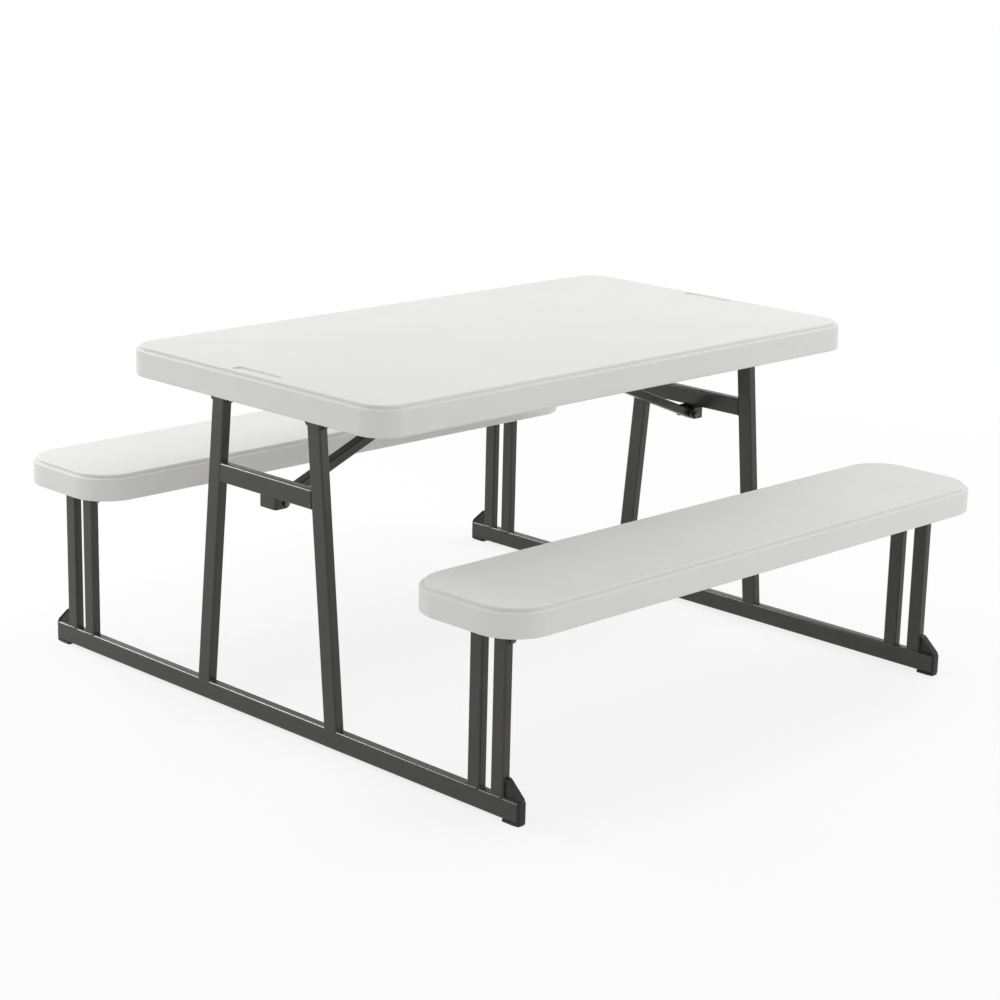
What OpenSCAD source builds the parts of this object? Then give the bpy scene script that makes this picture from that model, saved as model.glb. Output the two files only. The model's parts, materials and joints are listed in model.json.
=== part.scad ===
// Folding table with two attached benches: moulded top and seats on two welded steel end frames.
// The origin is on the floor under the middle of the table, X runs along the table, Z is up.

/* [Table top] */
// Length of the table top
table_length = 1414; // [1200:1:1800]
// Width of the table top
table_width = 790; // [700:1:820]
// Height of the table surface above the floor
table_height = 737; // [700:1:780]
// Depth of the skirt, from the surface to the lower edge
table_skirt = 62; // [56:1:75]
// Thickness of the moulded panel inside the skirt
table_panel = 35; // [28:1:38]
// Corner radius of the table top, seen from above
table_corner_r = 65; // [40:1:120]

/* [Benches] */
// Length of each bench seat
bench_length = 1448; // [1250:1:1850]
// Width of each bench seat
bench_width = 299; // [260:1:320]
// Height of the seat surface above the floor
bench_height = 433; // [410:1:460]
// Depth of the seat's skirt, from the surface to the lower edge
bench_skirt = 57; // [52:1:65]
// Thickness of the seat's moulded panel
bench_panel = 31; // [24:1:33]
// Corner radius of the seat, seen from above
bench_corner_r = 89; // [50:1:120]
// Distance from the table's middle to the middle of a seat
bench_reach = 618; // [600:1:660]

/* [Moulded edges] */
// Thickness of the skirt wall
skirt_wall = 12; // [8:0.5:16]
// How far the top surface stands in from the skirt
rim_inset = 9; // [6:0.5:14]
// Height of the small step between the skirt's shoulder and the top surface
rim_step = 4; // [2:0.5:6]
// Radius of the skirt's rounded shoulder
shoulder_r = 6; // [3:0.5:6]
// Radius of the rounded edge of the top surface
surface_r = 3; // [1:0.5:4]
// Radius of the skirt's lower edge
lip_r = 4; // [2:0.5:5]
// Radius where the skirt meets the panel's underside
fillet_r = 6; // [3:0.5:8]
// Depth of the plain oval recess near each end of the top
recess_depth = 2; // [0.5:0.1:3]
// Length of the oval recess
recess_length = 136; // [60:1:180]
// Width of the oval recess
recess_width = 26; // [10:1:32]
// Distance from the table's end to the middle of the recess
recess_margin = 30; // [28:1:90]
// Spacing of the moulded dimples on the undersides
dimple_pitch = 94; // [70:1:140]
// Depth of the dimples
dimple_depth = 14; // [6:1:18]
// Radius of a dimple at its mouth
dimple_r = 15; // [10:1:18]
// Radius of a dimple at its bottom
dimple_tip_r = 7; // [4:1:9]
// Least distance from the ends of a panel to its dimples
dimple_margin = 130; // [110:1:200]

/* [End frames] */
// Distance of an end frame's middle from the end of the top or the benches, whichever is shorter
frame_inset = 60; // [56:1:110]
// Depth of the frame tubes, along the table
tube_depth = 22; // [18:1:26]
// Wall of the frame tubes
tube_wall = 1.5; // [1:0.1:2.5]
// Corner radius of the frame tubes
tube_corner_r = 4; // [2:0.5:6]
// Height of the floor rail
rail_height = 40; // [30:1:46]
// Length of the floor rail's steel tube
rail_length = 1446; // [1420:1:1540]
// Width of a table leg
leg_width = 38; // [30:1:44]
// Distance between the middles of the two table legs at their hinges
leg_spread_top = 292; // [240:1:340]
// Distance between the middles of the two table legs on the floor rail
leg_spread_foot = 402; // [360:1:460]
// Height of the crossbar tube
crossbar_height = 40; // [30:1:46]
// Height of the crossbar's underside above the floor
crossbar_level = 484; // [460:1:500]
// Width of a bench leg
bench_leg_width = 33; // [26:1:38]
// Depth of a bench leg
bench_leg_depth = 20; // [16:1:26]
// Clear gap between the two bench legs of a pair
bench_leg_gap = 29; // [20:1:40]
// Distance from the table's middle to the middle of a pair of bench legs
bench_leg_reach = 637; // [620:1:650]

/* [Feet] */
// Thickness of the pad under the rail
foot_pad = 6; // [4:0.5:10]
// Width of a foot's pad and end plate, along the table
foot_width = 22; // [20:0.5:30]
// Thickness of the foot's end plate
foot_end = 5; // [4:0.5:10]
// Height of the foot's end plate above the floor
foot_shoulder = 52; // [50:1:66]
// Corner radius of the foot's end plate
foot_corner_r = 6; // [4:0.5:8]
// Radius of the end plate's upright edges
foot_edge_r = 4; // [2:0.5:6]
// Height of the wedge above the floor
foot_wedge = 84; // [76:1:110]
// Width of the wedge, along the table
wedge_width = 17; // [12:0.5:20]
// Depth of the panels sunk into the wedge's sides
foot_panel_depth = 2.5; // [1:0.5:4]

/* [Hinges] */
// How far the table legs' hinge axis lies below the skirt
hinge_drop = 17; // [16:0.5:22]
// How far a leg tube runs past its hinge axis
leg_tail = 12; // [10:0.5:13]
// Diameter of the pivot bolts
bolt_d = 8; // [6:0.5:10]
// Height of the bolts' heads and nuts
bolt_head = 5.2; // [4:0.2:7]
// Width across the flats of the bolts' heads and nuts
bolt_hex = 13; // [11:0.5:17]
// How far a bolt stands out of its nut
bolt_end = 2; // [1:0.5:4]
// Radial play of a tube or brace on its pivot bolt
pivot_play = 0.2; // [0.1:0.05:0.4]
// Plate thickness of the hinge brackets
plate = 3; // [2:0.5:4]
// Room between a leg and the bracket cheek beside it
cheek_room = 2.4; // [2:0.1:4]
// Length of a hinge bracket along the table
bracket_length = 48; // [40:1:60]
// Radius of a cheek's rounded end about the pivot
cheek_r = 10; // [9:0.5:14]
// Height of the steel rails under the top and the seats
stiffener_height = 20; // [16:1:24]
// Width of the steel rails under the table top
table_stiffener_width = 30; // [24:1:36]
// Width of the steel rails under the seats
bench_stiffener_width = 24; // [18:1:30]
// Distance of the rails' ends from the ends of the top and the seats
stiffener_margin = 34; // [24:1:40]

/* [Brace] */
// Width of a brace
brace_width = 26; // [20:1:32]
// Depth of a brace
brace_depth = 20; // [16:1:22]
// Wall of the brace tube
brace_wall = 1.5; // [1:0.1:2.5]
// How far the brace's pivot lies below the crossbar
brace_pivot_drop = 16; // [14:0.5:18]
// How far the brace's pivot lies inside the frame's middle plane
brace_pivot_inset = 24; // [23:0.5:28]
// How far a brace runs past its pivot
brace_tail = 12; // [10:0.5:13]
// Distance from the table's middle to the upper end of a brace
brace_end_reach = 75; // [65:1:110]
// How far the brace's upper end lies below the panel
brace_end_drop = 13.5; // [13:0.5:20]
// Length of the brace's plastic tip that shows
brace_tip_length = 10; // [6:1:16]
// Length of the tip's plug inside the brace
brace_plug = 30; // [20:1:50]
// Outer width of the bracket under the crossbar
brace_bracket_width = 50; // [46:1:60]
// Height of that bracket
brace_bracket_height = 27; // [25:1:30]
// How far that bracket stands in from the crossbar's outer face
brace_bracket_inset = 7; // [3:0.5:8]
// Room beside a brace in the catch
catch_room = 3; // [2:0.5:6]
// Height of the catch's cheeks
catch_depth = 22; // [16:1:24]
// Length of the catch
catch_length = 230; // [200:1:300]
// How far the catch's lips flare out
catch_lip = 5; // [3:0.5:7]

/* [Screws] */
// Diameter of the fixing screws
screw_d = 5; // [4:0.5:6]
// How far a screw reaches into the moulded panel
screw_bite = 14; // [8:1:18]
// How far a bracket's screw reaches through the wall of its rail
screw_through = 3; // [2:0.5:5]
// Height of a screw head
screw_head = 2.6; // [2:0.2:3.4]
// Diameter of a screw head
screw_head_d = 10; // [8:0.5:12]
// Bevel round a screw head
screw_bevel = 1.5; // [0.5:0.1:2]
// Distance of a screw from the edge of the plate that it holds
screw_edge = 8; // [7:0.5:10]
// Distance from a rail's end to the first screw that holds the rail
screw_margin = 202; // [120:1:260]
// Gap left between pieces that slide in or against each other
fit_gap = 0.3; // [0.1:0.05:0.5]

/* [Hidden] */
$fn = 48;

far = 2000;
eps = 0.01;
steel = [0.24, 0.23, 0.22];
zinc = [0.62, 0.63, 0.64];
pale = [0.86, 0.86, 0.85];
black = [0.13, 0.13, 0.13];
nylon = [0.2, 0.2, 0.2];

frame_spread = min(table_length, bench_length) - 2 * frame_inset;
frame_x = frame_spread / 2;
skirt_base = table_height - table_skirt;
panel_base = table_height - table_panel;
seat_base = bench_height - bench_panel;
hinge_z = skirt_base - hinge_drop;
seat_hinge_z = hinge_z - (table_height - bench_height);
rail_top = foot_pad + rail_height;
bolt_r = bolt_d / 2;
bolt_hole_r = bolt_r + fit_gap / 2;
pivot_hole_r = bolt_r + pivot_play;
screw_r = screw_d / 2;
screw_hole_r = screw_r + fit_gap / 2;
hinge_y = leg_spread_top / 2;
foot_y = leg_spread_foot / 2;
splay = atan((foot_y - hinge_y) / (hinge_z - rail_top));
leg_half = leg_width / 2 / cos(splay);
cheek_y = leg_half + cheek_room;
bench_leg_pitch = bench_leg_width + bench_leg_gap;
pair_half = bench_leg_width + bench_leg_gap / 2;
seat_cheek_y = pair_half + cheek_room;
rail_end = rail_length / 2;
foot_inner = bench_leg_reach + pair_half + fit_gap;
foot_outer = rail_end + foot_end;
cope = tube_corner_r / 2;

brace_x = frame_x - brace_pivot_inset;
brace_z = crossbar_level - brace_pivot_drop;
brace_rise = panel_base - brace_end_drop - brace_z;
brace_run = brace_x - brace_end_reach;
brace_angle = atan2(brace_rise, brace_run);
brace_length = norm([brace_rise, brace_run]);
brace_cheek_y = brace_bracket_width / 2 - plate;

// Puts a piece drawn for the left end at the named end.
module at_end(side) {
  if (side == "left") translate([-frame_x, 0, 0]) children();
  if (side == "right") mirror([1, 0, 0]) translate([-frame_x, 0, 0]) children();
}

// Puts a piece drawn for the rear half at the named half.
module at_half(half) {
  if (half == "rear") children();
  if (half == "front") mirror([0, 1, 0]) children();
}

module both_ways(direction) {
  children();
  mirror(direction) children();
}

module rounded_rect(width, depth, radius) {
  square([width - 2 * radius, depth], center = true);
  square([width, depth - 2 * radius], center = true);
  for (x = [-1, 1], y = [-1, 1])
    translate([x * (width / 2 - radius), y * (depth / 2 - radius)]) circle(radius);
}

// A rectangular tube along Z with rounded corners.
module tube(width, depth, length, wall = tube_wall) {
  difference() {
    linear_extrude(length) rounded_rect(width, depth, tube_corner_r);
    translate([0, 0, -1]) linear_extrude(length + 2)
      rounded_rect(width - 2 * wall, depth - 2 * wall, tube_corner_r - wall);
  }
}

module tube_along_y(width, height, length) {
  translate([0, length / 2, 0]) rotate([90, 0, 0]) tube(width, height, length);
}

module tube_along_x(width, height, length) {
  translate([-length / 2, 0, 0]) rotate([90, 0, 90]) tube(width, height, length);
}

// A round rod along Y from one place to another.
module rod_y(radius, from, to) {
  translate([0, to, 0]) rotate([90, 0, 0]) cylinder(h = to - from, r = radius);
}

// A hexagon bolt along Y, clamped from one face to another, with its nut on the far face.
module bolt_y(from, to) {
  hex_r = bolt_hex / 2 / cos(30);
  rod_y(bolt_r, from - bolt_head + eps, to + bolt_head + bolt_end);
  translate([0, from, 0]) rotate([90, 0, 0]) cylinder(h = bolt_head, r = hex_r, $fn = 6);
  translate([0, to + bolt_head, 0]) rotate([90, 0, 0]) difference() {
    cylinder(h = bolt_head, r = hex_r, $fn = 6);
    translate([0, 0, -1]) cylinder(h = bolt_head + 2, r = bolt_hole_r);
  }
}

// A pan-head screw pointing up, with the underside of its head at the origin.
module screw(reach) {
  translate([0, 0, -screw_head]) {
    cylinder(h = screw_head + reach, r = screw_r);
    cylinder(h = screw_head, r1 = screw_head_d / 2 - screw_bevel, r2 = screw_head_d / 2);
  }
}

// Points on an arc, for the rounded stretches of a section.
function arc(centre, radius, from, to, steps = 5) =
  [for (i = [0:steps]) let (a = from + (to - from) * i / steps) centre + radius * [cos(a), sin(a)]];

// The section of a moulded edge: X is the distance from the corner's centre, Y the height.
module edge_section(radius, top, skirt, thick) {
  low = top - skirt;
  inside = radius - skirt_wall;
  ledge = top - surface_r - rim_step;
  lip = min(lip_r, skirt_wall / 3);
  fillet = min(fillet_r, thick / 3);
  polygon(concat(
    [[0, top]],
    arc([radius - rim_inset - surface_r, top - surface_r], surface_r, 90, 0),
    [[radius - rim_inset, ledge]],
    arc([radius - shoulder_r, ledge - shoulder_r], shoulder_r, 90, 0),
    arc([radius - lip, low + lip], lip, 0, -90),
    arc([inside + lip, low + lip], lip, -90, -180),
    arc([inside - fillet, top - thick - fillet], fillet, 0, 90),
    [[0, top - thick]]
  ));
}

// A moulded panel with a skirt all round: its edge section swept round a rounded rectangle.
module moulded_panel(length, width, radius, top, skirt, thick) {
  half_x = length / 2 - radius;
  half_y = width / 2 - radius;
  for (x = [0, 1], y = [0, 1])
    mirror([x, 0, 0]) mirror([0, y, 0]) translate([half_x, half_y, 0])
      rotate_extrude(angle = 90, $fn = 96) edge_section(radius, top, skirt, thick);
  both_ways([1, 0, 0]) translate([half_x, half_y, 0]) rotate([90, 0, 0])
    linear_extrude(2 * half_y) edge_section(radius, top, skirt, thick);
  both_ways([0, 1, 0]) translate([-half_x, half_y, 0]) rotate([90, 0, 90])
    linear_extrude(2 * half_x) edge_section(radius, top, skirt, thick);
  translate([-half_x, -half_y, top - thick]) cube([2 * half_x, 2 * half_y, thick]);
}

// Places along a line, about a pitch apart and centred.
function spaced(length, pitch) =
  let (count = floor(length / pitch)) [for (i = [0:count]) (i - count / 2) * pitch];

// A number of places spread evenly from one reach to the opposite one.
function evenly(count, reach) = [for (i = [0:count - 1]) reach * (2 * i / (count - 1) - 1)];

module dimple(base) {
  translate([0, 0, base - eps]) cylinder(h = dimple_depth + eps, r1 = dimple_r, r2 = dimple_tip_r);
}

// Table top, its rails and its hinge brackets
rail_reach = table_length / 2 - stiffener_margin;
rail_base = panel_base - stiffener_height;
web_base = rail_base - plate;
table_screw_x = evenly(4, rail_reach - screw_margin);
bracket_screw_x = bracket_length / 2 - screw_edge;
catch_screw_x = evenly(3, catch_length / 2 - screw_edge);
catch_inside = brace_width / 2 + catch_room;
table_rows_y = [
  (table_width / 2 - skirt_wall + hinge_y + table_stiffener_width / 2) / 2,
  (hinge_y - table_stiffener_width / 2 + catch_inside + plate) / 2
];

module table_top() {
  color(pale) difference() {
    moulded_panel(table_length, table_width, table_corner_r, table_height, table_skirt, table_panel);
    both_ways([1, 0, 0]) translate([table_length / 2 - recess_margin, 0, table_height - recess_depth])
      linear_extrude(recess_depth + 1) {
        square([recess_width, recess_length - recess_width], center = true);
        for (y = [-1, 1]) translate([0, y * (recess_length - recess_width) / 2]) circle(recess_width / 2);
      }
    for (x = spaced(table_length - 2 * dimple_margin, dimple_pitch), y = table_rows_y)
      both_ways([0, 1, 0]) translate([x, y, 0]) dimple(panel_base);
    for (x = table_screw_x, y = [-hinge_y, hinge_y]) translate([x, y, panel_base - 1])
      cylinder(h = screw_bite + 1, r = screw_hole_r);
    for (x = catch_screw_x) translate([x, 0, panel_base - 1])
      cylinder(h = screw_bite + 1, r = screw_hole_r);
  }
}

module table_rail(half) {
  color(steel) at_half(half) translate([0, hinge_y, 0]) difference() {
    translate([0, 0, panel_base - stiffener_height / 2])
      tube_along_x(table_stiffener_width, stiffener_height, 2 * rail_reach);
    for (x = table_screw_x) translate([x, 0, rail_base - 1])
      cylinder(h = stiffener_height + 2, r = screw_hole_r);
    both_ways([1, 0, 0]) translate([frame_x, 0, 0]) both_ways([1, 0, 0])
      translate([bracket_screw_x, 0, rail_base - 1]) cylinder(h = tube_wall + 2, r = screw_hole_r);
  }
}

module table_rail_screws() {
  color(zinc) for (x = table_screw_x, y = [-hinge_y, hinge_y])
    translate([x, y, rail_base]) screw(stiffener_height + screw_bite);
}

// One cheek of a hinge bracket: a plate across Y that narrows to a round end about the pivot.
module cheek(pivot_z, top, from) {
  shoulder = bracket_length / 2;
  translate([0, from + plate, 0]) rotate([90, 0, 0]) difference() {
    linear_extrude(plate) {
      translate([0, pivot_z]) circle(cheek_r);
      polygon([[-cheek_r, pivot_z], [cheek_r, pivot_z], [shoulder, top], [-shoulder, top]]);
    }
    translate([0, pivot_z, -1]) cylinder(h = plate + 2, r = bolt_hole_r);
  }
}

// A channel bracket about a pivot: a web with its face at the top height and two cheeks.
module hinge_bracket(pivot_z, top, inside) {
  difference() {
    translate([-bracket_length / 2, -inside - plate, top - plate])
      cube([bracket_length, 2 * (inside + plate), plate]);
    children();
  }
  cheek(pivot_z, top - plate, inside);
  cheek(pivot_z, top - plate, -inside - plate);
}

module hinge_brackets(side) {
  color(steel) at_end(side) both_ways([0, 1, 0]) translate([0, hinge_y, 0])
    hinge_bracket(hinge_z, rail_base, cheek_y)
      both_ways([1, 0, 0]) translate([bracket_screw_x, 0, web_base - 1])
        cylinder(h = plate + 2, r = screw_hole_r);
}

module hinge_bracket_screws() {
  color(zinc) for (side = ["left", "right"]) at_end(side) both_ways([0, 1, 0]) both_ways([1, 0, 0])
    translate([bracket_screw_x, hinge_y, web_base]) screw(plate + tube_wall + screw_through);
}

module hinge_bolts(side) {
  color(zinc) at_end(side) both_ways([0, 1, 0]) translate([0, hinge_y, hinge_z])
    bolt_y(-cheek_y - plate, cheek_y + plate);
}

// The channel that takes the upper ends of both braces, with lips that lead them in.
module brace_catch() {
  outside = catch_inside + plate;
  half = [
    [outside, 0], [outside, -catch_depth], [outside + catch_lip, -catch_depth - catch_lip],
    [catch_inside + catch_lip, -catch_depth - catch_lip], [catch_inside, -catch_depth], [catch_inside, -plate]
  ];
  other_half = [for (i = [len(half) - 1:-1:0]) [-half[i].x, half[i].y]];
  color(steel) difference() {
    translate([-catch_length / 2, 0, panel_base]) rotate([90, 0, 90]) linear_extrude(catch_length)
      polygon(concat(half, other_half));
    for (x = catch_screw_x) translate([x, 0, panel_base - plate - 1])
      cylinder(h = plate + 2, r = screw_hole_r);
  }
}

module catch_screws() {
  color(zinc) for (x = catch_screw_x) translate([x, 0, panel_base - plate]) screw(plate + screw_bite);
}

// End frames
module floor_rail(side) {
  color(steel) at_end(side) translate([0, 0, foot_pad + rail_height / 2])
    tube_along_y(tube_depth, rail_height, rail_length);
}

// The outer shape of a floor rail, which the legs are cut to fit.
module rail_space() {
  translate([0, rail_end, foot_pad + rail_height / 2]) rotate([90, 0, 0])
    linear_extrude(rail_length) rounded_rect(tube_depth, rail_height, tube_corner_r);
}

// Axes with their origin at a table leg's hinge and Z up along the leg.
module along_leg() {
  translate([0, hinge_y, hinge_z]) rotate([splay, 0, 0]) children();
}

module table_leg(side, half) {
  reach = hinge_z - rail_top + leg_width;
  color(steel) at_end(side) at_half(half) difference() {
    along_leg() translate([0, 0, -reach]) tube(tube_depth, leg_width, reach + leg_tail);
    translate([-far / 2, -far / 2, rail_top - cope - far]) cube(far);
    rail_space();
    translate([0, hinge_y, hinge_z]) rod_y(pivot_hole_r, -leg_width, leg_width);
  }
}

module crossbar(side) {
  color(steel) at_end(side) difference() {
    translate([0, 0, crossbar_level + crossbar_height / 2])
      tube_along_y(tube_depth, crossbar_height, 2 * foot_y);
    both_ways([0, 1, 0]) along_leg() translate([-far / 2, -leg_width / 2, -far / 2]) cube(far);
  }
}

module bench_legs(side, half) {
  color(steel) at_end(side) at_half(half) difference() {
    for (y = [-1, 1]) translate([0, bench_leg_reach + y * bench_leg_pitch / 2, rail_top - cope])
      tube(bench_leg_depth, bench_leg_width, seat_hinge_z + leg_tail - rail_top + cope);
    rail_space();
    translate([0, bench_leg_reach, seat_hinge_z]) rod_y(pivot_hole_r, -pair_half - 1, pair_half + 1);
  }
}

// The outline of a foot seen along the table.
module foot_outline() {
  r = foot_corner_r;
  hull() {
    translate([foot_inner, 0]) square([eps, foot_wedge]);
    for (z = [r, foot_shoulder - r]) translate([foot_outer - r, z]) circle(r);
  }
}

// Draws a profile of Y and Z through a width along the table.
module along_x(from, width) {
  translate([from, 0, 0]) rotate([90, 0, 90]) linear_extrude(width) children();
}

// A foot's pad and its end plate, rounded from every side.
module foot_base() {
  reach = foot_outer - foot_inner;
  intersection() {
    along_x(-foot_width / 2, foot_width) foot_outline();
    translate([0, foot_inner, 0]) linear_extrude(foot_shoulder)
      rounded_rect(foot_width, 2 * reach, foot_edge_r);
    union() {
      translate([-foot_width / 2, foot_inner, 0]) cube([foot_width, rail_end - foot_inner + eps, foot_pad]);
      translate([0, foot_outer, foot_shoulder / 2]) rotate([90, 0, 0]) linear_extrude(foot_end)
        rounded_rect(foot_width, foot_shoulder, foot_corner_r);
    }
  }
}

// A foot's wedge on the rail, with a panel sunk into each side.
module foot_rib() {
  difference() {
    along_x(-wedge_width / 2, wedge_width) intersection() {
      foot_outline();
      translate([foot_inner, rail_top]) square([far, foot_wedge]);
    }
    both_ways([1, 0, 0]) along_x(wedge_width / 2 - foot_panel_depth, far) intersection() {
      offset(delta = -plate) foot_outline();
      translate([foot_inner, rail_top + plate]) square([rail_end - foot_inner, foot_wedge]);
    }
  }
}

module foot(side, half) {
  plug_wall = tube_wall + fit_gap;
  color(black) at_end(side) at_half(half) {
    foot_base();
    foot_rib();
    translate([0, rail_end + eps, foot_pad + rail_height / 2]) rotate([90, 0, 0])
      linear_extrude(rail_end - foot_inner + eps)
        rounded_rect(tube_depth - 2 * plug_wall, rail_height - 2 * plug_wall, tube_corner_r - tube_wall);
  }
}

// Bracket under the crossbar: a plate on the outer side and two cheeks that carry the brace's pivot.
module brace_bracket(side) {
  outer = brace_bracket_inset - tube_depth / 2;
  low = crossbar_level - brace_bracket_height;
  color(steel) at_end(side) {
    translate([outer, -brace_bracket_width / 2, low])
      cube([plate, brace_bracket_width, brace_bracket_height]);
    for (y = [-brace_cheek_y - plate, brace_cheek_y])
      translate([0, y + plate, 0]) rotate([90, 0, 0]) difference() {
        linear_extrude(plate) {
          translate([outer, low]) square([brace_pivot_inset - outer, brace_bracket_height]);
          translate([brace_pivot_inset, brace_z]) circle(brace_bracket_height - brace_pivot_drop);
        }
        translate([brace_pivot_inset, brace_z, -1]) cylinder(h = plate + 2, r = bolt_hole_r);
      }
  }
}

module brace_bolt(side) {
  color(zinc) at_end(side) translate([brace_pivot_inset, 0, brace_z]) mirror([0, 1, 0])
    bolt_y(-brace_bracket_width / 2, brace_bracket_width / 2);
}

// Axes with their origin at a brace's pivot and Z up along the brace.
module along_brace() {
  translate([brace_pivot_inset, 0, brace_z]) rotate([0, 90 - brace_angle, 0]) children();
}

module brace(side) {
  color(steel) at_end(side) difference() {
    along_brace() translate([0, 0, -brace_tail])
      tube(brace_depth, brace_width, brace_tail + brace_length - brace_tip_length, brace_wall);
    translate([brace_pivot_inset, 0, brace_z]) rod_y(pivot_hole_r, -brace_width, brace_width);
  }
}

module brace_tip(side) {
  plug_wall = brace_wall + fit_gap;
  color(black) at_end(side) along_brace() translate([0, 0, brace_length - brace_tip_length]) {
    linear_extrude(brace_tip_length) rounded_rect(brace_depth, brace_width, tube_corner_r);
    translate([0, 0, -brace_plug]) linear_extrude(brace_plug + eps)
      rounded_rect(brace_depth - 2 * plug_wall, brace_width - 2 * plug_wall, tube_corner_r - brace_wall);
  }
}

module brace_bushes(side) {
  color(nylon) at_end(side) translate([brace_pivot_inset, 0, brace_z]) both_ways([0, 1, 0]) difference() {
    rod_y(2 * bolt_r, brace_width / 2, brace_cheek_y - fit_gap);
    rod_y(pivot_hole_r, 0, brace_width);
  }
}

// Benches
seat_rail_reach = bench_length / 2 - stiffener_margin;
seat_rail_base = seat_base - stiffener_height;
seat_screw_x = evenly(3, seat_rail_reach - screw_margin);
seat_wall_y = bench_width / 2 - skirt_wall;
seat_rails_y = bench_leg_pitch / 2 + bench_stiffener_width / 2;
seat_rows_y = [
  (bench_reach - seat_wall_y + bench_leg_reach - seat_rails_y) / 2,
  (bench_reach + seat_wall_y + bench_leg_reach + seat_rails_y) / 2
];

module seat(half) {
  color(pale) at_half(half) difference() {
    translate([0, bench_reach, 0])
      moulded_panel(bench_length, bench_width, bench_corner_r, bench_height, bench_skirt, bench_panel);
    for (x = spaced(bench_length - 2 * dimple_margin, dimple_pitch), y = seat_rows_y)
      translate([x, y, 0]) dimple(seat_base);
    for (x = seat_screw_x, y = [-1, 1])
      translate([x, bench_leg_reach + y * bench_leg_pitch / 2, seat_base - 1])
        cylinder(h = screw_bite + 1, r = screw_hole_r);
  }
}

module seat_rails(half) {
  color(steel) at_half(half) for (y = [-1, 1])
    translate([0, bench_leg_reach + y * bench_leg_pitch / 2, 0]) difference() {
      translate([0, 0, seat_base - stiffener_height / 2])
        tube_along_x(bench_stiffener_width, stiffener_height, 2 * seat_rail_reach);
      for (x = seat_screw_x) translate([x, 0, seat_rail_base - 1])
        cylinder(h = stiffener_height + 2, r = screw_hole_r);
      both_ways([1, 0, 0]) translate([frame_x, 0, 0]) both_ways([1, 0, 0])
        translate([bracket_screw_x, 0, seat_rail_base - 1])
          cylinder(h = tube_wall + 2, r = screw_hole_r);
    }
}

module seat_brackets(half) {
  color(steel) for (side = ["left", "right"]) at_end(side) at_half(half) translate([0, bench_leg_reach, 0])
    hinge_bracket(seat_hinge_z, seat_rail_base, seat_cheek_y)
      for (x = [-1, 1], y = [-1, 1])
        translate([x * bracket_screw_x, y * bench_leg_pitch / 2, seat_rail_base - plate - 1])
          cylinder(h = plate + 2, r = screw_hole_r);
}

module seat_bolts(half) {
  color(zinc) for (side = ["left", "right"]) at_end(side) at_half(half)
    translate([0, bench_leg_reach, seat_hinge_z]) bolt_y(-seat_cheek_y - plate, seat_cheek_y + plate);
}

module seat_screws(half) {
  color(zinc) {
    for (x = seat_screw_x, y = [-1, 1])
      at_half(half) translate([x, bench_leg_reach + y * bench_leg_pitch / 2, seat_rail_base])
        screw(stiffener_height + screw_bite);
    for (side = ["left", "right"], x = [-1, 1], y = [-1, 1])
      at_end(side) at_half(half)
        translate([x * bracket_screw_x, bench_leg_reach + y * bench_leg_pitch / 2, seat_rail_base - plate])
          screw(plate + tube_wall + screw_through);
  }
}

table_top();
table_rail("front");  // front_table_rail
table_rail("rear");  // rear_table_rail
table_rail_screws();
hinge_brackets("left");  // left_hinge_brackets
hinge_brackets("right");  // right_hinge_brackets
hinge_bracket_screws();
hinge_bolts("left");  // left_hinge_bolts
hinge_bolts("right");  // right_hinge_bolts
brace_catch();
catch_screws();
floor_rail("left");  // left_floor_rail
table_leg("left", "front");  // left_front_leg
table_leg("left", "rear");  // left_rear_leg
crossbar("left");  // left_crossbar
bench_legs("left", "front");  // left_front_bench_legs
bench_legs("left", "rear");  // left_rear_bench_legs
foot("left", "front");  // left_front_foot
foot("left", "rear");  // left_rear_foot
brace_bracket("left");  // left_brace_bracket
brace_bolt("left");  // left_brace_bolt
brace("left");  // left_brace
brace_tip("left");  // left_brace_tip
brace_bushes("left");  // left_brace_bushes
floor_rail("right");  // right_floor_rail
table_leg("right", "front");  // right_front_leg
table_leg("right", "rear");  // right_rear_leg
crossbar("right");  // right_crossbar
bench_legs("right", "front");  // right_front_bench_legs
bench_legs("right", "rear");  // right_rear_bench_legs
foot("right", "front");  // right_front_foot
foot("right", "rear");  // right_rear_foot
brace_bracket("right");  // right_brace_bracket
brace_bolt("right");  // right_brace_bolt
brace("right");  // right_brace
brace_tip("right");  // right_brace_tip
brace_bushes("right");  // right_brace_bushes
seat("front");  // front_seat
seat_rails("front");  // front_seat_rails
seat_brackets("front");  // front_seat_brackets
seat_bolts("front");  // front_seat_bolts
seat_screws("front");  // front_seat_screws
seat("rear");  // rear_seat
seat_rails("rear");  // rear_seat_rails
seat_brackets("rear");  // rear_seat_brackets
seat_bolts("rear");  // rear_seat_bolts
seat_screws("rear");  // rear_seat_screws
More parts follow.
